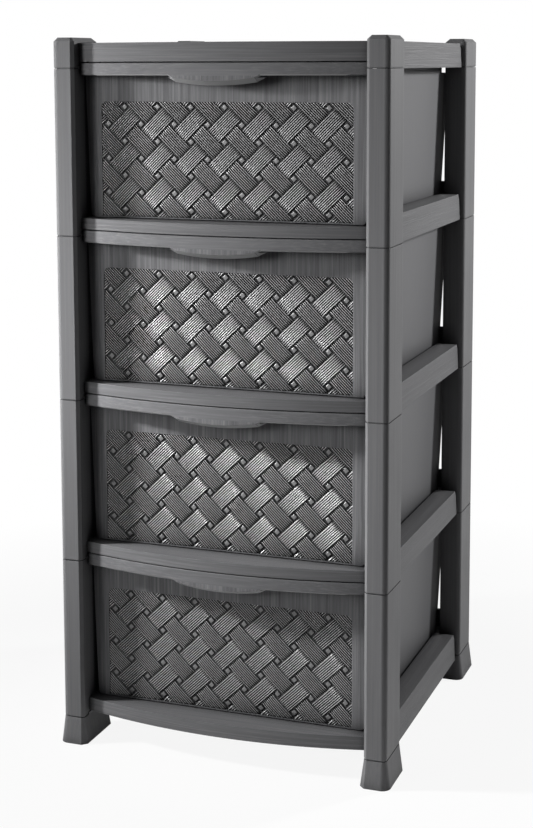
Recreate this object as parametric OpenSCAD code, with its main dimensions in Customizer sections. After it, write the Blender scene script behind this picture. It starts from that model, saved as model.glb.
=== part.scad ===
// Free-standing storage tower: four drafted pull-out bins between stacked corner posts.
// Millimetres, +Z up, the bin fronts face -Y, origin on the floor under the middle of the footprint.

/* [Tower] */
// Width over the corner posts
tower_w = 392; // [376:1:404]
// Depth over the corner posts
tower_d = 404; // [392:1:416]
// Height of one storey, from joint to joint
storey = 188.5; // [180:0.5:200]
// Height of a foot
foot_h = 31; // [26:1:36]
// Height of a post cap
cap_h = 35; // [33:1:38]
// Wall of every hollow post piece
post_wall = 2.2; // [2:0.1:2.8]

/* [Posts] */
// Width of a post across the front
post_w = 26; // [24:0.5:28]
// Depth of a post along the side
post_d = 60; // [54:1:66]
// Radius of the outer post edges
post_r = 6; // [4:0.5:7]
// Leg of the bevel on the inner post edge
post_bevel = 3.5; // [2:0.5:4.5]
// How far a foot spreads at the floor
foot_flare = 4; // [2:0.5:5]
// Leg of the bevel round the cap tops
cap_bevel = 4.5; // [3:0.5:4.5]
// Depth of the groove that marks each post joint
joint_groove = 0.7; // [0.4:0.1:1]

/* [Shelves] */
// Radius of the bowed front edge
bow_r = 640; // [560:10:760]
// How far the middle of the bow stands out in front of the posts
bow_out = 8; // [7:0.5:10]
// Wall of the bowed front band
band_t = 3; // [2.4:0.1:3.4]
// Thickness of the shelf deck
deck_t = 2.6; // [2.2:0.1:3]
// Height of the deck's top above its joint
deck_z = 20.5; // [19.5:0.5:21.5]
// Height of the top deck above the highest joint
top_deck_z = 29; // [27:0.5:31]
// Bottom edge of the front band above its joint
band_z = 8; // [7:0.5:9]
// Height of a side rail
rail_h = 32; // [30:0.5:34]
// Setback of a side rail's outer face from the post face
rail_set = 5; // [4:0.5:6]
// Height of the rear upstand above the deck
upstand_h = 23.5; // [20:0.5:26]
// Setback of the rear wall from the back of the posts
back_set = 12; // [10:0.5:13]
// Depth of the stiffening ribs under a deck
rib_h = 8; // [6:0.5:8.5]
// Number of lengthwise ribs
ribs_x = 4; // [3:1:5]
// Number of cross ribs
ribs_y = 2; // [1:1:3]
// How much lower the bottom shelf's band reaches
bottom_low = 3; // [2:0.5:4]
// How far the bottom shelf's rails reach below their joint
bottom_drop = 5; // [3:0.5:6]

/* [Bins] */
// Setback of the flat bin fronts from the front of the posts
front_set = 27; // [24:0.5:28]
// Gap between a bin's rim and the posts
side_gap = 2; // [2:0.5:4]
// How far a side wall leans in at the floor
side_lean = 5; // [4.5:0.5:8]
// Distance of a bin's rear rim from the back of the posts
rear_gap = 26; // [24:1:32]
// How far the rear wall leans in at the floor
rear_lean = 16; // [14:1:20]
// Radius of the rear upright corners
rear_r = 12; // [8:1:16]
// Wall of a bin
bin_wall = 2; // [1.8:0.1:2.6]
// Thickness of the front panel
front_t = 4.6; // [4.2:0.2:5.4]
// How far a bin pulls out
travel = 270; // [240:5:275]
// Width of a tab that stops the bin
tab_w = 16; // [12:1:20]
// Width of a runner strip
runner_w = 12; // [8:1:16]
// Height of a runner strip with its gap
runner_h = 1; // [0.8:0.1:1.4]

/* [Grip] */
// Height of the bowed front lip
lip_h = 14; // [12:0.5:15]
// Wall of the lip
lip_t = 3.2; // [2.6:0.2:3.6]
// Depth of the finger grip below the lip
grip_drop = 11; // [8:0.5:12]
// Half width of the grip at its foot
grip_half = 48; // [40:1:56]
// Depth of the sloped underside along the grip's lower edge
grip_bevel = 9.6; // [7:0.2:10.6]

/* [Weave] */
// Distance between woven blocks across
weave_x = 40.2; // [38:0.1:41]
// Distance between woven blocks upwards
weave_z = 38.5; // [37:0.1:40]
// Width of a woven strand bundle
strand_w = 18.6; // [17:0.1:19.2]
// Width of the plain edge beside the sunk woven field
field_edge = 14.5; // [13:0.5:17]
// Top edge of the woven field below the joint
field_top = 36.5; // [34:0.5:40]
// How deep the field is sunk
field_sink = 2.6; // [2.2:0.1:2.8]

/* [Fits] */
// Gap between seated pieces
seat = 0.3; // [0.2:0.05:0.4]
// Gap between a bin and its runners
run = 0.3; // [0.2:0.05:0.4]
// Gap between the bin lip and the band above
lip_gap = 1.2; // [1:0.1:1.6]

/* [Hidden] */
$fn = 48;
levels = 4;
eps = 0.01;
big = 500;
px0 = tower_w / 2 - post_w;
px1 = tower_w / 2;
py0 = tower_d / 2 - post_d;
py1 = tower_d / 2;
bow_y = tower_d / 2 + bow_out;
bow_c = bow_r - bow_y;
bevel_c = (py1 - px0 - post_bevel) / sqrt(2);
inner = px0 - 0.5;
rail_x1 = tower_w / 2 - rail_set;
rail_x0 = px0 - 4;
rail_t = 2.5;
web_t = 3;
rail_y = py0 - 3;
rear_y = tower_d / 2 - back_set;
band_back = 8;
lug_t = 3;
lug_y0 = py0 + 8;
lug_y1 = py1 - 12;
stud_r = 2.7;
plug_h = 16;
plug_t = 2.2;
plug_x0 = px0 + 10;
front_y = tower_d / 2 - front_set;
bin_top = px0 - side_gap;
bin_foot = bin_top - side_lean;
rear_top = tower_d / 2 - rear_gap;
rear_foot = rear_top - rear_lean;
lip_z1 = band_z - lip_gap;
lip_z0 = lip_z1 - lip_h;
bin_z0 = deck_z + runner_h - storey;
bin_z1 = lip_z0;
rim_h = 0.6;
lip_half = bin_top - 0.5;
grip_sag = 4.8;
grip_tilt = 26;
bead_z = lip_z0 - 2;
guide_gap = 0.6;
runner_x = bin_foot - 23;
buffer_x = bin_foot - 73;
tab_x = bin_foot - 43;
stop_z = 4;
stop_t = 2.4;
stop_y = rear_top - travel - 8;
weave_a = atan2(weave_z, weave_x);
block_l = 35;
field_half = bin_foot - field_edge;
field_z1 = -field_top;
field_z0 = bin_z0 + 1.5;
field_r = 7;
shift_y = (bow_out - foot_flare) / 2;
dark = [0.30, 0.31, 0.33];
mid = [0.34, 0.35, 0.37];
lite = [0.38, 0.39, 0.41];

// Height of joint k: 0 under the caps, 4 on the feet.
function joint(k) = foot_h + (levels - k) * storey;
// Bin half width and rear end at height z below the joint above.
function half_at(z) = bin_foot + (bin_top - bin_foot) * (z - bin_z0) / (bin_z1 - bin_z0);
function rear_at(z) = rear_foot + (rear_top - rear_foot) * (z - bin_z0) / (bin_z1 - bin_z0);

// ---- shared shapes -------------------------------------------------------

// Space behind a plane that leans from distance a0 at z0 to a1 at z1, then stands upright up to top.
module slab(ang, a0, a1, z0, z1, top) {
  rotate([0, 0, ang]) rotate([90, 0, 0]) translate([0, 0, -big])
    linear_extrude(2 * big) polygon([[-big, z0], [a0, z0], [a1, z1], [a1, top], [-big, top]]);
}

// Puts a rear-right piece on the corner named by the two signs.
module corner(sx, sy) {
  mirror([sx < 0 ? 1 : 0, 0, 0]) mirror([0, sy < 0 ? 1 : 0, 0]) children();
}

// Post section for the rear-right corner, shrunk by g.
module post_section(g) {
  r = post_r - g;
  x0 = px0 + g;
  x1 = px1 - g;
  y0 = py0 + g;
  y1 = py1 - g;
  difference() {
    union() {
      translate([x0, y0 + r]) square([x1 - x0, y1 - y0 - 2 * r]);
      translate([x0, y0]) square([x1 - x0 - r, y1 - y0]);
      translate([x1 - r, y0 + r]) circle(r);
      translate([x1 - r, y1 - r]) circle(r);
    }
    translate([px0, py1]) rotate(45) square((post_bevel + g * sqrt(2)) * sqrt(2), center = true);
  }
}

// Solid whose section is the post shrunk by g0 at z0 and by g1 at z1.
module leaning_post(z0, z1, g0, g1) {
  cx = px1 - post_r;
  difference() {
    intersection() {
      slab(0, px1 - g0, px1 - g1, z0, z1, z1);
      slab(180, -px0 - g0, -px0 - g1, z0, z1, z1);
      slab(90, py1 - g0, py1 - g1, z0, z1, z1);
      slab(270, -py0 - g0, -py0 - g1, z0, z1, z1);
      slab(135, bevel_c - g0, bevel_c - g1, z0, z1, z1);
    }
    translate([cx, py1 - post_r, z0 - 1]) cube([20, 20, z1 - z0 + 2]);
    translate([cx, py0 + post_r - 20, z0 - 1]) cube([20, 20, z1 - z0 + 2]);
  }
  intersection() {
    translate([cx, py1 - post_r, z0]) cylinder(h = z1 - z0, r1 = post_r - g0, r2 = post_r - g1);
    translate([cx, py1 - post_r, z0]) cube([20, 20, z1 - z0]);
  }
  intersection() {
    translate([cx, py0 + post_r, z0]) cylinder(h = z1 - z0, r1 = post_r - g0, r2 = post_r - g1);
    translate([cx, py0 + post_r - 20, z0]) cube([20, 20, z1 - z0]);
  }
}

// Top plate fittings of a post piece: a hollow plug for the next piece and a stud for the shelf lug.
module plug(z) {
  difference() {
    translate([plug_x0, py0 + 4.5, z - eps])
      cube([px1 - post_wall - seat - plug_x0, post_d - 11, plug_h]);
    plug_hollow(z);
  }
  translate([px0 + 5, (lug_y0 + lug_y1) / 2, z - eps]) cylinder(h = lug_t, r = stud_r);
}

// Room inside the plug, cut through the plate below it.
module plug_hollow(z) {
  translate([plug_x0 + plug_t, py0 + 4.5 + plug_t, z - 5])
    cube([px1 - post_wall - seat - plug_x0 - 2 * plug_t, post_d - 11 - 2 * plug_t, plug_h + 10]);
}

// Room inside a piece for the plug and lug below it, up to height z1.
module socket(z0, z1) {
  translate([0, 0, z0 - 1]) linear_extrude(z1 - z0 + 1) post_section(post_wall);
  translate([px0 - 1, lug_y0 - seat, z0 - 1])
    cube([post_wall + 2, lug_y1 - lug_y0 + 2 * seat, 1 + lug_t + seat]);
}

// One storey of a corner post between joint k and joint k - 1.
module post_piece(k) {
  z0 = joint(k) + seat;
  z1 = joint(k - 1);
  difference() {
    union() {
      translate([0, 0, z0]) linear_extrude(1.2) post_section(joint_groove);
      translate([0, 0, z0 + 1.2]) linear_extrude(z1 - z0 - 1.2) post_section(0);
    }
    socket(z0, z1 - 3);
    plug_hollow(z1);
  }
  plug(z1);
}

// Hollow cap with bevelled top edges.
module cap_piece() {
  z0 = joint(0) + seat;
  z1 = joint(0) + cap_h;
  difference() {
    union() {
      translate([0, 0, z0]) linear_extrude(1.2) post_section(joint_groove);
      translate([0, 0, z0 + 1.2]) linear_extrude(z1 - cap_bevel - z0 - 2.2) post_section(0);
      intersection() {
        translate([0, 0, z0 + 2]) linear_extrude(z1 - z0) post_section(0);
        leaning_post(z1 - cap_bevel - 2, z1, -2, cap_bevel);
      }
    }
    socket(z0, z1 - cap_bevel - 1);
  }
}

// Hollow foot that spreads towards the floor.
module foot_piece() {
  difference() {
    leaning_post(0, foot_h, -foot_flare, 0);
    translate([0, 0, -1]) linear_extrude(foot_h - 2) post_section(post_wall);
    plug_hollow(foot_h);
  }
  plug(foot_h);
}

// Moves a piece so that the origin lies under the middle of the whole footprint.
module place() {
  translate([0, shift_y, 0]) children();
}

// Space inside the bowed front edge, set back by g, from z0 to z1.
module bow(g, z0, z1) {
  intersection() {
    translate([0, bow_c, z0]) cylinder(h = z1 - z0, r = bow_r - g, $fn = 720);
    translate([-px0, -big, z0]) cube([2 * px0, big, z1 - z0]);
  }
}

// Ledge that reaches into the post at one corner and takes its stud. The web that carries it
// runs along the post as far as y and up into the deck.
module lug(z, y, deck) {
  difference() {
    translate([px0 - 1, lug_y0, z + seat]) cube([plug_x0 + 0.5 - px0, lug_y1 - lug_y0, lug_t]);
    translate([px0 + 5, (lug_y0 + lug_y1) / 2, z - 1]) cylinder(h = lug_t + 3, r = stud_r + seat);
  }
  translate([inner - web_t, py0, z + seat]) cube([web_t, y - py0, deck - seat - 1]);
}

// Side rail with a leaning rear end, open below, for the right side.
module side_rail(z, drop, height) {
  top = z + height;
  difference() {
    translate([rail_x0, 0, 0]) rotate([90, 0, 90]) linear_extrude(rail_x1 - rail_x0)
      polygon([[-rail_y, z - drop], [rail_y, z - drop], [rail_y - 5, top - 6],
        [rail_y - 10, top], [-rail_y, top]]);
    translate([rail_x0 + rail_t, -rail_y + rail_t, z - drop - 1])
      cube([rail_x1 - rail_x0 - 2 * rail_t, 2 * rail_y - 8 - 2 * rail_t, height + drop + 1 - rail_t]);
  }
}

// Deck with its front band, ribs, rear wall, lugs and side rails.
// z is the joint, low the band's lower edge, drop the rails' depth below the joint,
// deck the deck's top, rail the rail height and back the rear wall's top.
module shelf(z, low, drop, deck, rail, back) {
  under = z + deck - deck_t;
  difference() {
    intersection() {
      bow(0, z + low, z + deck);
      translate([-inner, -big, z]) cube([2 * inner, big - front_y + band_back, deck + 10]);
    }
    bow(band_t, z + low - 1, under);
  }
  translate([-inner, band_back - front_y - 0.1, under])
    cube([2 * inner, rear_y + front_y - band_back + 0.1, deck_t]);
  translate([-inner, rear_y - 3, z + seat]) cube([2 * inner, 3, back - seat]);
  for (i = [1:ribs_x]) translate([inner * (2 * i / (ribs_x + 1) - 1) - 1, band_back - front_y, under - rib_h])
    cube([2, rear_y + front_y - band_back - 2, rib_h + 0.1]);
  for (j = [1:ribs_y]) translate([-inner, (rear_y + front_y) * j / (ribs_y + 1) - front_y - 1, under - rib_h])
    cube([2 * inner, 2, rib_h + 0.1]);
  for (s = [0, 1]) mirror([s, 0, 0]) {
    corner(1, 1) lug(z, rear_y, deck);
    corner(1, -1) lug(z, front_y - front_t - 2 * run, deck);
    side_rail(z, drop, rail);
    translate([rail_x0, -rail_y, under]) cube([rail_t, 2 * rail_y - 8, deck_t]);
  }
}

// Bar under a deck that catches the tabs of the bin below.
module guides(z) {
  for (s = [0, 1]) mirror([s, 0, 0])
    translate([rail_x0, 1 - rail_y, z + lip_z0 + guide_gap])
      cube([rail_t, 2 * rail_y - 10, 1 - lip_z0 - guide_gap]);
}
module stop_bar(z, deck) {
  translate([-inner, stop_y, z + 0.8]) cube([2 * inner, stop_t, deck - deck_t - 0.7]);
}

// Runner strips and rear buffers that carry and stop the bin above a deck.
module runners(z) {
  for (s = [-1, 1]) {
    translate([s * runner_x - runner_w / 2, 10 - front_y, z + deck_z - 0.1])
      cube([runner_w, rear_foot + front_y - 14, runner_h + 0.1 - run]);
    translate([s * buffer_x - 1.5, 0, z]) rotate([90, 0, 90]) linear_extrude(3)
      polygon([[rear_y - 2, deck_z - 0.1], [rear_y - 2, deck_z + upstand_h],
        [rear_foot + 5, deck_z + 5], [rear_foot + 1, deck_z + 2.6], [rear_foot + 1, deck_z - 0.1]]);
  }
}

// ---- bins ----------------------------------------------------------------

// Leaning solid of a bin, shrunk by g, between heights z0 and z1 with a bottom bevel c.
// Above z1 it stands upright up to top.
module bin_solid(g, z0, z1, c, top) {
  h0 = half_at(z0) - g;
  h1 = half_at(z1) - g;
  hc = half_at(z0 + c) - g;
  r0 = rear_at(z0) - g;
  r1 = rear_at(z1) - g;
  rc = rear_at(z0 + c) - g;
  front = (g > 0 ? front_t : 0) - front_y;
  intersection() {
    rotate([90, 0, 0]) linear_extrude(2 * big, center = true)
      polygon([[c - h0, z0], [h0 - c, z0], [hc, z0 + c], [h1, z1], [h1, top],
        [-h1, top], [-h1, z1], [-hc, z0 + c]]);
    rotate([90, 0, 90]) linear_extrude(2 * big, center = true)
      polygon([[front, z0], [r0 - c, z0], [rc, z0 + c], [r1, z1], [r1, top], [front, top]]);
    rear_corners(h0, h1, r0, r1, z0, z1, max(rear_r - g, 2), top);
  }
}

// The three planes that round each rear upright corner.
module rear_corners(h0, h1, r0, r1, z0, z1, r, top) {
  intersection() {
    slab(22.5, cut(22.5, h0, r0, r), cut(22.5, h1, r1, r), z0, z1, top);
    slab(45, cut(45, h0, r0, r), cut(45, h1, r1, r), z0, z1, top);
    slab(67.5, cut(67.5, h0, r0, r), cut(67.5, h1, r1, r), z0, z1, top);
    slab(112.5, cut(67.5, h0, r0, r), cut(67.5, h1, r1, r), z0, z1, top);
    slab(135, cut(45, h0, r0, r), cut(45, h1, r1, r), z0, z1, top);
    slab(157.5, cut(22.5, h0, r0, r), cut(22.5, h1, r1, r), z0, z1, top);
  }
}
function cut(a, x, y, r) = x * cos(a) + y * sin(a) - r * (cos(a) + sin(a) - 1);

// Bowed lip along the top of the front, with the finger grip hanging from its middle.
module lip() {
  difference() {
    union() {
      intersection() {
        translate([0, bow_c, 0]) rotate_extrude($fn = 720)
          polygon([[0, lip_z0], [bow_r - 1.4, lip_z0], [bow_r, lip_z0 + 1.4],
            [bow_r, lip_z1 - 0.8], [bow_r - 0.8, lip_z1], [0, lip_z1]]);
        translate([-lip_half, -big, lip_z0]) cube([2 * lip_half, big - front_y + 1, lip_h]);
      }
      grip();
    }
    intersection() {
      union() {
        translate([0, bow_c, bead_z]) cylinder(h = lip_z1 - lip_t - bead_z, r = bow_r - lip_t, $fn = 720);
        translate([0, bow_c, lip_z0 - 30])
          cylinder(h = bead_z - lip_z0 + 30.5, r = bow_r - grip_bevel - 1, $fn = 720);
      }
      translate([lip_t - lip_half, -big, lip_z0 - 30]) cube([2 * (lip_half - lip_t), big - front_y, 60]);
    }
  }
}

// The grip's drop below the lip, bevelled along its curved lower edge.
module grip() {
  gr = (grip_half * grip_half + grip_sag * grip_sag) / (2 * grip_sag * cos(grip_tilt));
  low = lip_z0 - grip_drop;
  intersection() {
    bow(0, low - 4, lip_z0 + 2);
    translate([0, grip_bevel + 1 - bow_y, low]) rotate([90 - grip_tilt, 0, 0]) intersection() {
      translate([0, 0, -9]) linear_extrude(grip_bevel + 20) grip_outline(cos(grip_tilt));
      translate([0, gr, -10]) cylinder(h = grip_bevel + 22, r = gr, $fn = 360);
    }
  }
}
module grip_outline(k) {
  up = grip_drop;
  polygon([[-grip_half - 13, (up + 1) * k], [-grip_half - 13, up * k], [-grip_half - 9, (up - 1) * k],
    [-grip_half, (grip_sag + 0.4) * k], [-grip_half, -5], [grip_half, -5],
    [grip_half, (grip_sag + 0.4) * k], [grip_half + 9, (up - 1) * k], [grip_half + 13, up * k],
    [grip_half + 13, (up + 1) * k]]);
}

// One woven block: a strand bundle that rises in the middle and dips at both ends.
module block(x, z, a, h) {
  translate([x, field_sink - front_y + eps, z]) rotate([90, 0, 0]) rotate([0, 0, a])
    translate([0, strand_w / 2, 0]) rotate([90, 0, 0]) linear_extrude(strand_w)
      polygon([[-block_l / 2, 0], [block_l / 2, 0], [block_l / 2, 0.4], [block_l / 4, h],
        [-block_l / 4, h], [-block_l / 2, 0.4]]);
}

// The woven field: bundles cross at both diagonals and each one goes over and under in turn.
module weave() {
  z_mid = (field_z0 + field_z1) / 2 + 1;
  nx = floor(field_half / weave_x);
  nz = floor((field_z1 - field_z0) / 2 / weave_z);
  mx = floor(field_half / weave_x + 0.5);
  mz = floor((field_z1 - field_z0) / 2 / weave_z + 0.5);
  intersection() {
    union() {
      for (i = [-nx:nx], j = [-nz:nz]) block(i * weave_x, z_mid + j * weave_z, weave_a, 1.5);
      for (i = [-mx:mx - 1], j = [-mz:mz - 1])
        block((i + 0.5) * weave_x, z_mid + (j + 0.5) * weave_z, -weave_a, 1.3);
    }
    translate([0.6 - field_half, -front_y - 1, field_z0 + 0.4])
      cube([2 * field_half - 1.2, field_sink + 2, field_z1 - field_z0 - 1]);
  }
}

// The sunk field with rounded upper corners.
module field() {
  rotate([90, 0, 0]) translate([0, 0, front_y - field_sink]) linear_extrude(field_sink + 1) union() {
    translate([-field_half, field_z0]) square([2 * field_half, field_z1 - field_z0 - field_r]);
    translate([field_r - field_half, field_z0]) square([2 * (field_half - field_r), field_z1 - field_z0]);
    for (s = [-1, 1]) translate([s * (field_half - field_r), field_z1 - field_r]) circle(field_r);
  }
}

// A whole bin, hung from the joint above it: the shell, the panel that stands above its rim,
// the lip, the weave and two tabs that meet the stop bar when the bin is pulled out.
module bin(k) {
  translate([0, 0, joint(k)]) {
    difference() {
      bin_solid(0, bin_z0, bin_z1, 3, lip_z1);
      bin_solid(bin_wall, bin_z0 + bin_wall, bin_z1, 2, big / 10);
      translate([-big, front_t - front_y, bin_z1 + rim_h]) cube([2 * big, big, big / 10]);
      field();
    }
    lip();
    weave();
    for (s = [-1, 1])
      translate([s * tab_x - tab_w / 2, rear_at(bin_z1) - bin_wall - 0.4, bin_z1 - 6])
        cube([tab_w, bin_wall - 0.3, stop_z - bin_z1 + 6]);
  }
}

// ---- the pieces ----------------------------------------------------------

module top_shelf() color(mid) place() {
  shelf(joint(0), band_z, 0, top_deck_z, top_deck_z, top_deck_z);
  stop_bar(joint(0), top_deck_z);
  guides(joint(0));
}
module upper_shelf() color(mid) place() {
  shelf(joint(1), band_z, 0, deck_z, rail_h, deck_z + upstand_h);
  stop_bar(joint(1), deck_z);
  guides(joint(1));
  runners(joint(1));
}
module middle_shelf() color(mid) place() {
  shelf(joint(2), band_z, 0, deck_z, rail_h, deck_z + upstand_h);
  stop_bar(joint(2), deck_z);
  guides(joint(2));
  runners(joint(2));
}
module lower_shelf() color(mid) place() {
  shelf(joint(3), band_z, 0, deck_z, rail_h, deck_z + upstand_h);
  stop_bar(joint(3), deck_z);
  guides(joint(3));
  runners(joint(3));
}
module bottom_shelf() color(mid) place() {
  shelf(joint(4), band_z - bottom_low, bottom_drop, deck_z, rail_h, deck_z + upstand_h);
  runners(joint(4));
}

module post_front_left_1() color(dark) place() corner(-1, -1) post_piece(1);
module post_front_left_2() color(dark) place() corner(-1, -1) post_piece(2);
module post_front_left_3() color(dark) place() corner(-1, -1) post_piece(3);
module post_front_left_4() color(dark) place() corner(-1, -1) post_piece(4);
module post_front_right_1() color(dark) place() corner(1, -1) post_piece(1);
module post_front_right_2() color(dark) place() corner(1, -1) post_piece(2);
module post_front_right_3() color(dark) place() corner(1, -1) post_piece(3);
module post_front_right_4() color(dark) place() corner(1, -1) post_piece(4);
module post_rear_left_1() color(dark) place() corner(-1, 1) post_piece(1);
module post_rear_left_2() color(dark) place() corner(-1, 1) post_piece(2);
module post_rear_left_3() color(dark) place() corner(-1, 1) post_piece(3);
module post_rear_left_4() color(dark) place() corner(-1, 1) post_piece(4);
module post_rear_right_1() color(dark) place() corner(1, 1) post_piece(1);
module post_rear_right_2() color(dark) place() corner(1, 1) post_piece(2);
module post_rear_right_3() color(dark) place() corner(1, 1) post_piece(3);
module post_rear_right_4() color(dark) place() corner(1, 1) post_piece(4);

module cap_front_left() color(dark) place() corner(-1, -1) cap_piece();
module cap_front_right() color(dark) place() corner(1, -1) cap_piece();
module cap_rear_left() color(dark) place() corner(-1, 1) cap_piece();
module cap_rear_right() color(dark) place() corner(1, 1) cap_piece();

module foot_front_left() color(dark) place() corner(-1, -1) foot_piece();
module foot_front_right() color(dark) place() corner(1, -1) foot_piece();
module foot_rear_left() color(dark) place() corner(-1, 1) foot_piece();
module foot_rear_right() color(dark) place() corner(1, 1) foot_piece();

module top_drawer() color(lite) place() bin(0);
module upper_drawer() color(lite) place() bin(1);
module lower_drawer() color(lite) place() bin(2);
module bottom_drawer() color(lite) place() bin(3);

top_shelf();
upper_shelf();
middle_shelf();
lower_shelf();
bottom_shelf();
post_front_left_1();
post_front_left_2();
post_front_left_3();
post_front_left_4();
post_front_right_1();
post_front_right_2();
post_front_right_3();
post_front_right_4();
post_rear_left_1();
post_rear_left_2();
post_rear_left_3();
post_rear_left_4();
post_rear_right_1();
post_rear_right_2();
post_rear_right_3();
post_rear_right_4();
cap_front_left();
cap_front_right();
cap_rear_left();
cap_rear_right();
foot_front_left();
foot_front_right();
foot_rear_left();
foot_rear_right();
top_drawer();
upper_drawer();
lower_drawer();
bottom_drawer();
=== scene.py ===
import math

import bmesh
import bpy
from mathutils import Matrix, Vector


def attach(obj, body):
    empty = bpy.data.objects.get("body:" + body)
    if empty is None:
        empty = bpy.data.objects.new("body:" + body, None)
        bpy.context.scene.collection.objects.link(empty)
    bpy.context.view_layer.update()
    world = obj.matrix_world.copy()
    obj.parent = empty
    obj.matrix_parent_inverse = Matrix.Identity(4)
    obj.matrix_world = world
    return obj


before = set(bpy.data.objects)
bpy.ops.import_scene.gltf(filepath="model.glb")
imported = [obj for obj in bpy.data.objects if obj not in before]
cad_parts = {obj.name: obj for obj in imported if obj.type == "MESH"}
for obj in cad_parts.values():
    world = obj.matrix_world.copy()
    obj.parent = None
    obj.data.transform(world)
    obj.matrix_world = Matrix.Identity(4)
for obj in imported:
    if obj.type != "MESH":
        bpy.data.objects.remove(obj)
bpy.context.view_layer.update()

# ---------------------------------------------------------------------------
# Corner posts, caps and feet. Hollow polypropylene mouldings, coloured
# through, that plug into each other at every storey. The mould is polished to
# a satin, with faint draw lines running up and down, and the corners are soft.
# ---------------------------------------------------------------------------


def put(tree, kind, inputs=None, **settings):
    """One node of a material or tree, with its inputs linked or set."""
    node = tree.nodes.new(kind)
    for name, value in settings.items():
        setattr(node, name, value)
    for name, value in (inputs or {}).items():
        if isinstance(value, bpy.types.NodeSocket):
            tree.links.new(value, node.inputs[name])
        else:
            node.inputs[name].default_value = value
    return node


def effect(name, inputs, outputs):
    """A shader group with named sockets, and its two end nodes."""
    tree = bpy.data.node_groups.new(name, "ShaderNodeTree")
    for label, kind, value in inputs:
        tree.interface.new_socket(label, in_out="INPUT", socket_type=kind).default_value = value
    for label, kind in outputs:
        tree.interface.new_socket(label, in_out="OUTPUT", socket_type=kind)
    return tree, tree.nodes.new("NodeGroupInput").outputs, tree.nodes.new("NodeGroupOutput").inputs


# Draw lines and wood grain: noise stretched along one direction, as lines per metre.
grain, given, result = effect(
    "moulded_grain",
    [("Position", "NodeSocketVector", (0, 0, 0)), ("Lines", "NodeSocketVector", (300, 300, 6)),
     ("Sharpness", "NodeSocketFloat", 2.0)],
    [("Tone", "NodeSocketFloat"), ("Height", "NodeSocketFloat")])
spread = put(grain, "ShaderNodeVectorMath", {0: given["Position"], 1: given["Lines"]}, operation="MULTIPLY")
fine = put(grain, "ShaderNodeTexNoise", {"Vector": spread.outputs[0], "Scale": 1.0, "Detail": 4.0,
                                         "Roughness": 0.62, "Distortion": 0.25})
wide = put(grain, "ShaderNodeTexNoise", {"Vector": spread.outputs[0], "Scale": 0.22, "Detail": 2.0,
                                         "Roughness": 0.5, "Distortion": 0.6})
ridge = put(grain, "ShaderNodeMapRange", {"Value": fine.outputs["Fac"], "From Min": 0.3, "From Max": 0.7})
sharp = put(grain, "ShaderNodeMath", {0: ridge.outputs[0], 1: given["Sharpness"]}, operation="POWER")
both = put(grain, "ShaderNodeMath", {0: sharp.outputs[0], 1: wide.outputs["Fac"]}, operation="ADD")
half = put(grain, "ShaderNodeMath", {0: both.outputs[0], 1: 0.6}, operation="MULTIPLY")
grain.links.new(half.outputs[0], result["Tone"])
grain.links.new(sharp.outputs[0], result["Height"])

# Soft corners: a rounded normal for the light to catch, and a mask of edges painted lighter, partly painted
# highlight and partly wear in patches.
edges, given, result = effect(
    "painted_edge_highlight_and_wear",
    [("Position", "NodeSocketVector", (0, 0, 0)), ("Radius", "NodeSocketFloat", 0.0008)],
    [("Highlight And Wear", "NodeSocketFloat"), ("Rounded", "NodeSocketVector")])
rounded = put(edges, "ShaderNodeBevel", {"Radius": given["Radius"]}, samples=6)
flat = put(edges, "ShaderNodeNewGeometry")
turn = put(edges, "ShaderNodeVectorMath", {0: rounded.outputs[0], 1: flat.outputs["Normal"]},
           operation="DOT_PRODUCT")
bend = put(edges, "ShaderNodeMapRange", {"Value": turn.outputs["Value"], "From Min": 0.995, "From Max": 0.85})
patchy = put(edges, "ShaderNodeTexNoise", {"Vector": given["Position"], "Scale": 90.0, "Detail": 3.0})
wear_and_painted_light = put(edges, "ShaderNodeMapRange", {"Value": patchy.outputs["Fac"], "From Min": 0.35, "From Max": 0.65})
lightened_edge_mask = put(edges, "ShaderNodeMath", {0: bend.outputs[0], 1: wear_and_painted_light.outputs[0]}, operation="MULTIPLY")
edges.links.new(lightened_edge_mask.outputs[0], result["Highlight And Wear"])
edges.links.new(rounded.outputs[0], result["Rounded"])

# Painted shade: inner corners and the slits between parts are painted dark, by how open the surface is within
# a short reach.
crevice_shade_group, given, result = effect(
    "painted_crevice_shade",
    [("Reach", "NodeSocketFloat", 0.03)],
    [("Open", "NodeSocketFloat")])
nearby = put(crevice_shade_group, "ShaderNodeAmbientOcclusion", {"Distance": given["Reach"]}, samples=6)
opened = put(crevice_shade_group, "ShaderNodeMapRange", {"Value": nearby.outputs["AO"], "From Min": 0.18, "From Max": 0.78})
crevice_shade_group.links.new(opened.outputs[0], result["Open"])

# Handling dust and the slight cloud of a big moulding: broad, weak mottling.
cloud, given, result = effect(
    "moulding_cloud",
    [("Position", "NodeSocketVector", (0, 0, 0)), ("Size", "NodeSocketFloat", 9.0)],
    [("Cloud", "NodeSocketFloat"), ("Pebble", "NodeSocketFloat")])
broad = put(cloud, "ShaderNodeTexNoise", {"Vector": given["Position"], "Scale": given["Size"], "Detail": 3.0})
pebble = put(cloud, "ShaderNodeTexNoise", {"Vector": given["Position"], "Scale": 900.0, "Detail": 2.0})
cloud.links.new(broad.outputs["Fac"], result["Cloud"])
cloud.links.new(pebble.outputs["Fac"], result["Pebble"])


def begin_plastic(name, corner=0.0008):
    """A new material with its place on the piece and two of the shared effects: the edges and the moulding's
    cloud.
    """
    material = bpy.data.materials.new(name)
    material.use_nodes = True
    tree = material.node_tree
    tree.nodes.clear()
    place = put(tree, "ShaderNodeTexCoord")
    where = place.outputs["Object"]
    soft = put(tree, "ShaderNodeGroup", {}, node_tree=edges)
    soft.inputs["Radius"].default_value = corner
    tree.links.new(where, soft.inputs["Position"])
    mottle = put(tree, "ShaderNodeGroup", {}, node_tree=cloud)
    tree.links.new(where, mottle.inputs["Position"])
    return material, tree, place, soft, mottle


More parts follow.
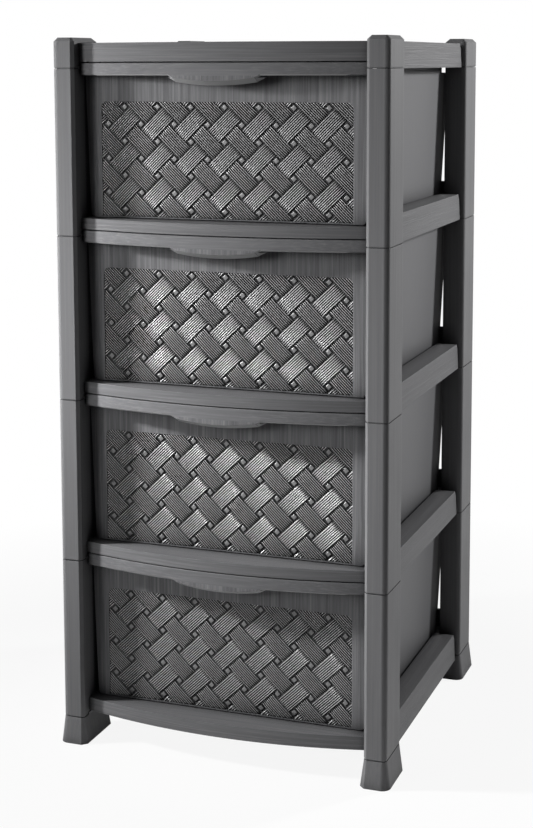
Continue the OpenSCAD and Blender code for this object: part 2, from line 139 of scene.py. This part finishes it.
def shade(tree, amount, dark, light):
    """A colour between two, by a mask."""
    mix = put(tree, "ShaderNodeMix", {0: amount, 6: (*dark, 1), 7: (*light, 1)}, data_type="RGBA")
    return mix.outputs[2]


edge_highlight_and_wear_grey = (0.215, 0.216, 0.222)  # painted highlight on the edges, mixed with patchy wear
painted_gap_shade = (0.008, 0.008, 0.009)  # painted shade, laid deep in the slits between parts


def finish_plastic(tree, colour, roughness, height, depth, soft, mottle, pebble=0.00002, shine=0.05):
    """Joins colour, roughness and bump to the plastic's shader, with painted highlight on the edges and
    painted shade where the surface is closed in. Depths of bump are in metres.
    """
    # Painted highlight with patchy wear: the edges are lightened towards a pale grey.
    edge_lightened = put(tree, "ShaderNodeMix", {0: soft.outputs["Highlight And Wear"], 6: colour, 7: (*edge_highlight_and_wear_grey, 1)},
              data_type="RGBA")
    # Painted shade: the colour is darkened towards black where the surface is closed in.
    air = put(tree, "ShaderNodeGroup", {}, node_tree=crevice_shade_group)
    deep = put(tree, "ShaderNodeMix", {0: air.outputs["Open"], 6: (*painted_gap_shade, 1), 7: edge_lightened.outputs[2]},
               data_type="RGBA")
    grit = put(tree, "ShaderNodeBump", {"Strength": 0.35, "Distance": pebble,
                                        "Height": mottle.outputs["Pebble"], "Normal": soft.outputs["Rounded"]})
    lines = put(tree, "ShaderNodeBump", {"Strength": 1.0, "Distance": depth, "Height": height,
                                         "Normal": grit.outputs[0]})
    skin = put(tree, "ShaderNodeBsdfPrincipled", {"Base Color": deep.outputs[2], "Roughness": roughness,
                                                  "Normal": lines.outputs[0], "IOR": 1.49,
                                                  "Specular IOR Level": shine})
    out = put(tree, "ShaderNodeOutputMaterial")
    tree.links.new(skin.outputs[0], out.inputs["Surface"])


post_material, tree, place, soft, mottle = begin_plastic("satin_post_plastic")
draw = put(tree, "ShaderNodeGroup",
           {"Position": place.outputs["Object"], "Lines": (420, 420, 5), "Sharpness": 1.2}, node_tree=grain)
tone = shade(tree, draw.outputs["Tone"], (0.120, 0.120, 0.124), (0.166, 0.166, 0.170))
gloss = put(tree, "ShaderNodeMapRange", {"Value": mottle.outputs["Cloud"], "From Min": 0.3, "From Max": 0.7,
                                         "To Min": 0.36, "To Max": 0.48})
finish_plastic(tree, tone, gloss.outputs[0], draw.outputs["Height"], 0.00003, soft, mottle)

for name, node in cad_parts.items():
    if name.startswith(("post_", "cap_", "foot_")):
        node.material_slots[0].material = post_material

# ---------------------------------------------------------------------------
# Shelves. One moulding each: a bowed front band, side rails between the posts
# and a flat deck. The mould is cut with wood grain, which runs along the band
# and along each rail.
# ---------------------------------------------------------------------------

shelf_material, tree, place, soft, mottle = begin_plastic("wood_grained_shelf_plastic")
where = place.outputs["Object"]
rail_inner = 0.1655  # m, where the side rails' grain turns from across to front-to-back
level_normal = 0.6  # faces that look up or down more than this take the level grain
xyz = put(tree, "ShaderNodeSeparateXYZ", {0: where})
aside = put(tree, "ShaderNodeMath", {0: xyz.outputs["X"]}, operation="ABSOLUTE")
on_rail = put(tree, "ShaderNodeMath", {0: aside.outputs[0], 1: rail_inner}, operation="GREATER_THAN")
facing = put(tree, "ShaderNodeSeparateXYZ", {0: place.outputs["Normal"]})
upward = put(tree, "ShaderNodeMath", {0: facing.outputs["Z"]}, operation="ABSOLUTE")
level = put(tree, "ShaderNodeMath", {0: upward.outputs[0], 1: level_normal}, operation="GREATER_THAN")
upright = put(tree, "ShaderNodeGroup", {"Position": where, "Lines": (9, 9, 520), "Sharpness": 2.2},
              node_tree=grain)
across = put(tree, "ShaderNodeGroup", {"Position": where, "Lines": (9, 520, 9), "Sharpness": 2.2},
             node_tree=grain)
along = put(tree, "ShaderNodeGroup", {"Position": where, "Lines": (520, 9, 9), "Sharpness": 2.2},
            node_tree=grain)


def pick(tree, switch, low, high):
    """One of two values by a mask."""
    return put(tree, "ShaderNodeMix", {0: switch, 2: low, 3: high}, data_type="FLOAT").outputs[0]


streak = {}
for part in ("Tone", "Height"):
    top = pick(tree, on_rail.outputs[0], across.outputs[part], along.outputs[part])
    streak[part] = pick(tree, level.outputs[0], upright.outputs[part], top)
tone = shade(tree, streak["Tone"], (0.098, 0.098, 0.102), (0.184, 0.184, 0.189))
gloss = put(tree, "ShaderNodeMapRange", {"Value": streak["Height"], "To Min": 0.40, "To Max": 0.56})
finish_plastic(tree, tone, gloss.outputs[0], streak["Height"], 0.00022, soft, mottle)

for name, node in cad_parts.items():
    if name.endswith("_shelf"):
        node.material_slots[0].material = shelf_material

# ---------------------------------------------------------------------------
# Drawers. Each is one drafted bin with a bowed lip. The lip has the shelves'
# lengthwise wood grain, the plain border of the front has fine upright grain,
# and the sides are smooth.
# ---------------------------------------------------------------------------

storey = 0.1885  # m, from one drawer to the next
floor_gap = 0.031  # m, height of the feet below the first storey
lip_low, lip_high = 0.1813, 0.1953  # m above the storey's foot: the bowed lip
front_face = -0.165  # m, everything in front of this is the drawer's face
grip_front = -0.19  # m, only the finger grip stands in front of this
side_tone = 0.55  # the smooth sides' place between the front's dark and light tones

drawer_material, tree, place, soft, mottle = begin_plastic("drawer_plastic")
where = place.outputs["Object"]
xyz = put(tree, "ShaderNodeSeparateXYZ", {0: where})
over_foot = put(tree, "ShaderNodeMath", {0: xyz.outputs["Z"], 1: floor_gap}, operation="SUBTRACT")
in_storey = put(tree, "ShaderNodeMath", {0: over_foot.outputs[0], 1: storey}, operation="FLOORED_MODULO")
above = put(tree, "ShaderNodeMath", {0: in_storey.outputs[0], 1: lip_low}, operation="GREATER_THAN")
wrapped = put(tree, "ShaderNodeMath", {0: in_storey.outputs[0], 1: lip_high - storey}, operation="LESS_THAN")
on_lip = put(tree, "ShaderNodeMath", {0: above.outputs[0], 1: wrapped.outputs[0]}, operation="MAXIMUM")
in_front = put(tree, "ShaderNodeMath", {0: xyz.outputs["Y"], 1: front_face}, operation="LESS_THAN")
lip_mask = put(tree, "ShaderNodeMath", {0: on_lip.outputs[0], 1: in_front.outputs[0]}, operation="MULTIPLY")
upright = put(tree, "ShaderNodeGroup", {"Position": where, "Lines": (430, 430, 9), "Sharpness": 1.6},
              node_tree=grain)
lengthwise = put(tree, "ShaderNodeGroup", {"Position": where, "Lines": (9, 520, 520), "Sharpness": 2.2},
                 node_tree=grain)
lip_tone = shade(tree, lengthwise.outputs["Tone"], (0.112, 0.112, 0.117), (0.190, 0.190, 0.195))
height = pick(tree, lip_mask.outputs[0], upright.outputs["Height"], lengthwise.outputs["Height"])
# Behind the front the grain is only a quarter as deep.
calm = pick(tree, in_front.outputs[0], 0.25, 1.0)
height = put(tree, "ShaderNodeMath", {0: height, 1: calm}, operation="MULTIPLY").outputs[0]
tone_mask = pick(tree, in_front.outputs[0], side_tone, upright.outputs["Tone"])
tone = shade(tree, tone_mask, (0.070, 0.070, 0.074), (0.215, 0.215, 0.221))
tone = put(tree, "ShaderNodeMix", {0: lip_mask.outputs[0], 6: tone, 7: lip_tone}, data_type="RGBA").outputs[2]
# The sloped underside of the grip is painted pale: painted bounce light from the floor below.
facing = put(tree, "ShaderNodeSeparateXYZ", {0: place.outputs["Normal"]})
under = put(tree, "ShaderNodeMapRange", {"Value": facing.outputs["Z"], "From Min": -0.55, "From Max": -0.75})
ahead = put(tree, "ShaderNodeMath", {0: xyz.outputs["Y"], 1: grip_front}, operation="LESS_THAN")
painted_floor_bounce = put(tree, "ShaderNodeMath", {0: under.outputs[0], 1: ahead.outputs[0]}, operation="MULTIPLY")
tone = put(tree, "ShaderNodeMix", {0: painted_floor_bounce.outputs[0], 6: tone, 7: (0.36, 0.36, 0.365, 1)},
           data_type="RGBA").outputs[2]
gloss = put(tree, "ShaderNodeMapRange", {"Value": height, "To Min": 0.38, "To Max": 0.52})
finish_plastic(tree, tone, gloss.outputs[0], height, 0.00012, soft, mottle)

for name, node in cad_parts.items():
    if name.endswith("_drawer"):
        node.material_slots[0].material = drawer_material

# ---------------------------------------------------------------------------
# Woven fronts. The sunk field of each drawer front is moulded as basket weave:
# bundles of fine canes that pass over and under each other on a slant, with a
# small pad in every gap between them. It is one piece with its drawer.
# ---------------------------------------------------------------------------

field_floor = -0.1704  # m, the sunk field's floor
field_foot, field_head = -0.1655, -0.0358  # m from the storey's joint: the field's lower and upper edges
field_side = 0.1492  # m, half the field's width
field_round = 0.0082  # m, radius of the field's upper corners
field_middle = -0.100  # m from the storey's joint: the middle row of bundles
column, row = 0.0402, 0.0385  # m, from one bundle to the next like it
slant = math.atan2(row, column)
bundle_length, bundle_width = 0.0371, 0.0186  # m
pad_rim, pad_step = 0.0009, 0.0005  # m, height of a pad's rim and of its middle above that
pad_tone, pad_painted_highlight = 0.64, 0.09  # how near a pad's rim is to a ridge's colour, so the rim takes painted shade, and the painted highlight of its middle above that

weave = bpy.data.node_groups.new("basket_weave", "GeometryNodeTree")
weave.is_modifier = True
for label, kind, value in (
        ("Column", "NodeSocketFloat", column), ("Row", "NodeSocketFloat", row),
        ("Slant", "NodeSocketFloat", slant),
        ("Bundle Length", "NodeSocketFloat", bundle_length),
        ("Bundle Width", "NodeSocketFloat", bundle_width),
        ("Rising Canes", "NodeSocketInt", 8), ("Falling Canes", "NodeSocketInt", 8),
        ("Rising Crown", "NodeSocketFloat", 0.00258), ("Falling Crown", "NodeSocketFloat", 0.00238),
        ("Rising Bed", "NodeSocketFloat", 0.00154), ("Falling Bed", "NodeSocketFloat", 0.00134),
        # Painted highlight: the rising canes' tops are painted a little brighter than the falling ones'.
        ("Rising Polish", "NodeSocketFloat", 0.89), ("Falling Polish", "NodeSocketFloat", 0.85),
        ("Pad", "NodeSocketFloat", 0.0062), ("Unevenness", "NodeSocketFloat", 0.00010),
        ("Middle", "NodeSocketVector", (0, field_floor, 0)), ("Seed", "NodeSocketInt", 7),
        ("Plastic", "NodeSocketMaterial", None)):
    socket = weave.interface.new_socket(label, in_out="INPUT", socket_type=kind)
    if value is not None:
        socket.default_value = value
weave.interface.new_socket("Geometry", in_out="OUTPUT", socket_type="NodeSocketGeometry")
given = weave.nodes.new("NodeGroupInput").outputs
result = weave.nodes.new("NodeGroupOutput").inputs


def sum_of(*values, operation="MULTIPLY"):
    """A chain of one arithmetic operation over numbers and sockets."""
    total = values[0]
    for value in values[1:]:
        total = put(weave, "ShaderNodeMath", {0: total, 1: value}, operation=operation).outputs[0]
    return total


def raise_top(sheet, height, ridge):
    """A closed solid from a flat sheet: its underside stays flat and its top follows a height.
    How near each point is to a ridge is stored with it, for the painted shade in the grooves and the painted
    highlight on the tops.
    The sheet is first lifted by 10 mm, to tell its top from its underside."""
    up = put(weave, "GeometryNodeExtrudeMesh", {"Mesh": sheet, "Offset": (0, 0, 1), "Offset Scale": 0.01,
                                                "Individual": False}, mode="FACES")
    under = put(weave, "GeometryNodeFlipFaces", {"Mesh": sheet})
    shell = put(weave, "GeometryNodeJoinGeometry")
    weave.links.new(under.outputs[0], shell.inputs[0])
    weave.links.new(up.outputs["Mesh"], shell.inputs[0])
    whole = put(weave, "GeometryNodeMergeByDistance", {"Geometry": shell.outputs[0], "Distance": 1e-6})
    at = put(weave, "ShaderNodeSeparateXYZ", {0: put(weave, "GeometryNodeInputPosition").outputs[0]})
    is_top = put(weave, "ShaderNodeMath", {0: at.outputs["Z"], 1: 0.005}, operation="GREATER_THAN")
    level = put(weave, "GeometryNodeSwitch", {"Switch": is_top.outputs[0], "False": -0.0004, "True": height},
                input_type="FLOAT")
    place = put(weave, "ShaderNodeCombineXYZ", {0: at.outputs["X"], 1: at.outputs["Y"], 2: level.outputs[0]})
    marked = put(weave, "GeometryNodeStoreNamedAttribute", {"Geometry": whole.outputs[0], "Name": "ridge",
                                                            "Value": sum_of(ridge, is_top.outputs[0])},
                 data_type="FLOAT", domain="POINT")
    return put(weave, "GeometryNodeSetPosition", {"Geometry": marked.outputs[0],
                                                  "Position": place.outputs[0]}).outputs[0]


def bundle(canes, crown, bed, highlight_share):
    """One over-pass of the weave: round canes side by side that dip at both ends."""
    count = sum_of(sum_of(canes, 4.0), 1.0, operation="ADD")
    sheet = put(weave, "GeometryNodeMeshGrid",
                {"Size X": given["Bundle Length"], "Size Y": given["Bundle Width"],
                 "Vertices X": 9, "Vertices Y": count})
    at = put(weave, "ShaderNodeSeparateXYZ", {0: put(weave, "GeometryNodeInputPosition").outputs[0]})
    along = put(weave, "ShaderNodeMath", {0: at.outputs["X"]}, operation="ABSOLUTE").outputs[0]
    reach = sum_of(along, sum_of(given["Bundle Length"], 0.5), operation="DIVIDE")
    drop = put(weave, "ShaderNodeMath", {0: reach, 1: 3.0}, operation="POWER").outputs[0]
    arch = sum_of(crown, sum_of(1.0, sum_of(drop, 0.5), operation="SUBTRACT"))
    groove = sum_of(bed, sum_of(1.0, sum_of(drop, 0.75), operation="SUBTRACT"))
    edge = sum_of(sum_of(at.outputs["Y"], given["Bundle Width"], operation="DIVIDE"), 0.5, operation="ADD")
    swing = put(weave, "ShaderNodeMath", {0: sum_of(edge, canes, math.pi)}, operation="SINE").outputs[0]
    ridge = put(weave, "ShaderNodeMath", {0: swing}, operation="ABSOLUTE").outputs[0]
    cane = sum_of(ridge, sum_of(arch, groove, operation="SUBTRACT"))
    # The ridge value is scaled by the painted highlight share, so one kind of bundle is painted brighter.
    return raise_top(sheet.outputs["Mesh"], sum_of(groove, cane, operation="ADD"), sum_of(ridge, highlight_share))


def lattice(columns, rows):
    """The points that one kind of bundle or pad is set on, about the field's middle."""
    size_x, size_z = sum_of(given["Column"], float(columns - 1)), sum_of(given["Row"], float(rows - 1))
    return put(weave, "GeometryNodeMeshGrid", {"Size X": size_x, "Size Y": size_z,
                                               "Vertices X": columns, "Vertices Y": rows}).outputs["Mesh"]


relief = put(weave, "GeometryNodeJoinGeometry")
for way, sign, columns, rows in (("Rising", 1.0, 9, 5), ("Falling", -1.0, 8, 4)):
    turn = put(weave, "ShaderNodeCombineXYZ", {2: sum_of(given["Slant"], sign)})
    strands = bundle(given[f"{way} Canes"], given[f"{way} Crown"], given[f"{way} Bed"], given[f"{way} Polish"])
    laid = put(weave, "GeometryNodeInstanceOnPoints", {"Points": lattice(columns, rows), "Instance": strands,
                                                       "Rotation": turn.outputs[0]})
    weave.links.new(laid.outputs[0], relief.inputs[0])

pad_sheet = put(weave, "GeometryNodeMeshGrid", {"Size X": given["Pad"], "Size Y": given["Pad"],
                                                "Vertices X": 7, "Vertices Y": 7})
at = put(weave, "ShaderNodeSeparateXYZ", {0: put(weave, "GeometryNodeInputPosition").outputs[0]})
sides = [put(weave, "ShaderNodeMath", {0: at.outputs[axis]}, operation="ABSOLUTE").outputs[0]
         for axis in ("X", "Y")]
outer = sum_of(sum_of(sides[0], sides[1], operation="MAXIMUM"), given["Pad"], operation="DIVIDE")
inside = put(weave, "ShaderNodeMath", {0: outer, 1: 0.45}, operation="LESS_THAN").outputs[0]
dome = sum_of(pad_rim, sum_of(inside, pad_step), operation="ADD")
pad = raise_top(pad_sheet.outputs["Mesh"], dome, sum_of(pad_tone, sum_of(inside, pad_painted_highlight), operation="ADD"))
for columns, rows in ((8, 5), (9, 4)):
    turn = put(weave, "ShaderNodeCombineXYZ", {2: given["Slant"]})
    laid = put(weave, "GeometryNodeInstanceOnPoints", {"Points": lattice(columns, rows), "Instance": pad,
                                                       "Rotation": turn.outputs[0]})
    weave.links.new(laid.outputs[0], relief.inputs[0])

# No two canes are quite alike: the tops wander by a tenth of a millimetre.
real = put(weave, "GeometryNodeRealizeInstances", {"Geometry": relief.outputs[0]})
here = put(weave, "GeometryNodeInputPosition").outputs[0]
sway = put(weave, "ShaderNodeTexNoise", {"Vector": here, "W": given["Seed"], "Scale": 520.0, "Detail": 1.0},
           noise_dimensions="4D")
lift = sum_of(sum_of(sway.outputs["Fac"], 0.5, operation="SUBTRACT"), given["Unevenness"], 3.0)
high = put(weave, "ShaderNodeSeparateXYZ", {0: here})
raised = put(weave, "ShaderNodeMath", {0: high.outputs["Z"], 1: 0.0003}, operation="GREATER_THAN")
nudge = put(weave, "ShaderNodeCombineXYZ", {2: sum_of(lift, raised.outputs[0])})
uneven = put(weave, "GeometryNodeSetPosition", {"Geometry": real.outputs[0], "Offset": nudge.outputs[0]})
stand = put(weave, "GeometryNodeTransform", {"Geometry": uneven.outputs[0], "Translation": given["Middle"],
                                             "Rotation": (math.pi / 2, 0, 0)})
smooth = put(weave, "GeometryNodeSetShadeSmooth", {"Geometry": stand.outputs[0], "Shade Smooth": True})
mark = put(weave, "GeometryNodeInputNamedAttribute", {"Name": "ridge"}, data_type="FLOAT")
in_groove = put(weave, "ShaderNodeMath", {0: mark.outputs["Attribute"], 1: 0.1}, operation="LESS_THAN")
crisp = put(weave, "GeometryNodeSetShadeSmooth",
            {"Geometry": smooth.outputs[0], "Selection": in_groove.outputs[0], "Shade Smooth": False},
            domain="EDGE")
coloured = put(weave, "GeometryNodeSetMaterial", {"Geometry": crisp.outputs[0], "Material": given["Plastic"]})
weave.links.new(coloured.outputs[0], result["Geometry"])

# Painted shade and painted highlight: pale, glossy cane tops over near-black grooves, painted by how near each
# point is to a ridge.
weave_material, tree, place, soft, mottle = begin_plastic("woven_front_plastic", corner=0.00008)
shimmer = put(tree, "ShaderNodeTexNoise", {"Vector": place.outputs["Object"], "Scale": 260.0, "Detail": 3.0})
ridge = put(tree, "ShaderNodeAttribute", attribute_name="ridge", attribute_type="GEOMETRY")
depth = put(tree, "ShaderNodeMapRange", {"Value": ridge.outputs["Fac"], "From Min": 0.68, "From Max": 0.86})
lit = put(tree, "ShaderNodeMapRange", {"Value": shimmer.outputs["Fac"], "From Min": 0.3, "From Max": 0.7,
                                       "To Min": 0.78, "To Max": 1.0})
wear_and_painted_light = put(tree, "ShaderNodeMath", {0: depth.outputs[0], 1: lit.outputs[0]}, operation="MULTIPLY")
tone = shade(tree, wear_and_painted_light.outputs[0], (0.004, 0.004, 0.004), (0.660, 0.660, 0.670))
gloss = put(tree, "ShaderNodeMapRange", {"Value": mottle.outputs["Cloud"], "From Min": 0.3, "From Max": 0.7,
                                         "To Min": 0.26, "To Max": 0.34})
finish_plastic(tree, tone, gloss.outputs[0], shimmer.outputs["Fac"], 0.00004, soft, mottle, shine=0.45)


def socket_id(label):
    """The identifier of one of the weave's named inputs."""
    return next(s.identifier for s in weave.interface.items_tree
                if s.item_type == "SOCKET" and s.in_out == "INPUT" and s.name == label)


for storeys_up, drawer in enumerate(("bottom_drawer", "lower_drawer", "upper_drawer", "top_drawer")):
    joint = floor_gap + storey * (storeys_up + 1)
    source = bpy.data.objects.new("weave_source", bpy.data.meshes.new("weave_source"))
    bpy.context.scene.collection.objects.link(source)
    made = source.modifiers.new("weave", "NODES")
    made.node_group = weave
    made[socket_id("Middle")] = (0.0, field_floor, joint + field_middle)
    made[socket_id("Plastic")] = weave_material
    ready = source.evaluated_get(bpy.context.evaluated_depsgraph_get())
    mesh = bpy.data.meshes.new_from_object(ready)
    bpy.data.objects.remove(source)
    # The weave is cut off at the field's foot, sides and rounded upper corners.
    body = bmesh.new()
    body.from_mesh(mesh)
    cuts = [((0, 0, joint + field_foot), (0, 0, -1))]
    for sign in (-1, 1):
        middle = Vector((sign * (field_side - field_round), 0, joint + field_head - field_round))
        for turn in (0.0, 22.5, 45.0, 67.5, 90.0):
            outward = Vector((sign * math.cos(math.radians(turn)), 0, math.sin(math.radians(turn))))
            cuts.append((middle + field_round * outward, outward))
    for corner, outward in cuts:
        bmesh.ops.bisect_plane(body, geom=body.verts[:] + body.edges[:] + body.faces[:], dist=1e-7,
                               plane_co=corner, plane_no=outward, clear_outer=True)
        bmesh.ops.holes_fill(body, edges=[e for e in body.edges if e.is_boundary])
    bmesh.ops.recalc_face_normals(body, faces=body.faces[:])
    body.to_mesh(mesh)
    body.free()
    piece = bpy.data.objects.new(f"{drawer}_weave", mesh)
    bpy.context.scene.collection.objects.link(piece)
    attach(piece, f"{drawer}_body")

# ---------------------------------------------------------------------------
# The studio: a pale floor, a small soft box low on the left that draws the
# posts' and grips' shadows, a wide one in front, a small one behind on the
# right, a white surround and the camera.
# ---------------------------------------------------------------------------

world = bpy.data.worlds.new("white_surround")
bpy.context.scene.world = world
world.use_nodes = True
tree = world.node_tree
tree.nodes.clear()
ray = put(tree, "ShaderNodeLightPath")
seen = put(tree, "ShaderNodeMath", {0: ray.outputs["Is Camera Ray"], 1: ray.outputs["Is Glossy Ray"]},
           operation="MAXIMUM")
seen = put(tree, "ShaderNodeMath", {0: seen.outputs[0], 1: ray.outputs["Is Transmission Ray"]},
           operation="MAXIMUM")
strength = put(tree, "ShaderNodeMapRange", {"Value": seen.outputs[0], "To Min": 0.02, "To Max": 1.0})
sky = put(tree, "ShaderNodeBackground", {"Color": (1, 1, 1, 1), "Strength": strength.outputs[0]})
out = put(tree, "ShaderNodeOutputWorld", {"Surface": sky.outputs[0]})

floor_mesh = bpy.data.meshes.new("studio_floor")
floor_mesh.from_pydata([(-6, -6, 0), (6, -6, 0), (6, 6, 0), (-6, 6, 0)], [], [(0, 1, 2, 3)])
studio_floor = bpy.data.objects.new("studio_floor", floor_mesh)
bpy.context.scene.collection.objects.link(studio_floor)
floor_material = bpy.data.materials.new("pale_floor")
floor_material.use_nodes = True
tree = floor_material.node_tree
tree.nodes.clear()
ray = put(tree, "ShaderNodeLightPath")
matt = put(tree, "ShaderNodeBsdfDiffuse", {"Color": (0.8, 0.8, 0.8, 1)})
white = put(tree, "ShaderNodeEmission", {"Color": (1, 1, 1, 1), "Strength": 1.0})
place = put(tree, "ShaderNodeTexCoord")
away = put(tree, "ShaderNodeVectorMath", {0: place.outputs["Object"]}, operation="LENGTH")
fade = put(tree, "ShaderNodeMapRange", {"Value": away.outputs["Value"], "From Min": 0.35, "From Max": 0.9,
                                        "To Min": 0.9, "To Max": 1.0})
seen = put(tree, "ShaderNodeMath", {0: ray.outputs["Is Camera Ray"], 1: ray.outputs["Is Glossy Ray"]},
           operation="MAXIMUM")
seen = put(tree, "ShaderNodeMath", {0: seen.outputs[0], 1: ray.outputs["Is Transmission Ray"]},
           operation="MAXIMUM")
share = put(tree, "ShaderNodeMath", {0: seen.outputs[0], 1: fade.outputs[0]}, operation="MULTIPLY")
blend = put(tree, "ShaderNodeMixShader", {0: share.outputs[0], 1: matt.outputs[0], 2: white.outputs[0]})
out = put(tree, "ShaderNodeOutputMaterial", {"Surface": blend.outputs[0]})
floor_mesh.materials.append(floor_material)


def soft_box(name, spot, aim, size, power, beam=180):
    """A square soft box at one spot, aimed at another, with the width of its beam in degrees."""
    data = bpy.data.lights.new(name, "AREA")
    data.shape, data.size, data.energy, data.spread = "SQUARE", size, power, math.radians(beam)
    lamp = bpy.data.objects.new(name, data)
    lamp.location = spot
    away = (Vector(spot) - Vector(aim)).normalized()
    lamp.rotation_mode = "QUATERNION"
    lamp.rotation_quaternion = away.to_track_quat("Z", "Y")
    lamp.visible_camera = False
    bpy.context.scene.collection.objects.link(lamp)


soft_box("key_left", (-1.23, -0.63, 0.93), (0, -0.17, 0.36), 0.12, 4.3, beam=54)
soft_box("fill_front", (-1.25, -2.0, 1.1), (0, -0.2, 0.76), 0.9, 2.3, beam=42)
soft_box("fill_right", (1.38, 1.34, 1.15), (0.19, 0, 0.66), 0.22, 6.4, beam=70)

yaw, pitch, roll = math.radians(20.0705), math.radians(6.8053), math.radians(-0.1645)
ahead = Vector((-math.sin(yaw) * math.cos(pitch), math.cos(yaw) * math.cos(pitch), -math.sin(pitch)))
side = Vector((math.cos(yaw), math.sin(yaw), 0))
up = side.cross(ahead)
side, up = math.cos(roll) * side + math.sin(roll) * up, -math.sin(roll) * side + math.cos(roll) * up
camera = bpy.data.cameras.new("camera")
camera.sensor_width, camera.lens = 36, 70.994
camera.shift_x, camera.shift_y = 0.0, -0.1896
eye = bpy.data.objects.new("camera", camera)
facing = Matrix((side, up, -ahead)).transposed().to_4x4()
eye.matrix_world = Matrix.Translation((0.6603, -1.846086, 0.792)) @ facing
bpy.context.scene.collection.objects.link(eye)
bpy.context.scene.camera = eye
bpy.context.scene.view_settings.view_transform = "Standard"
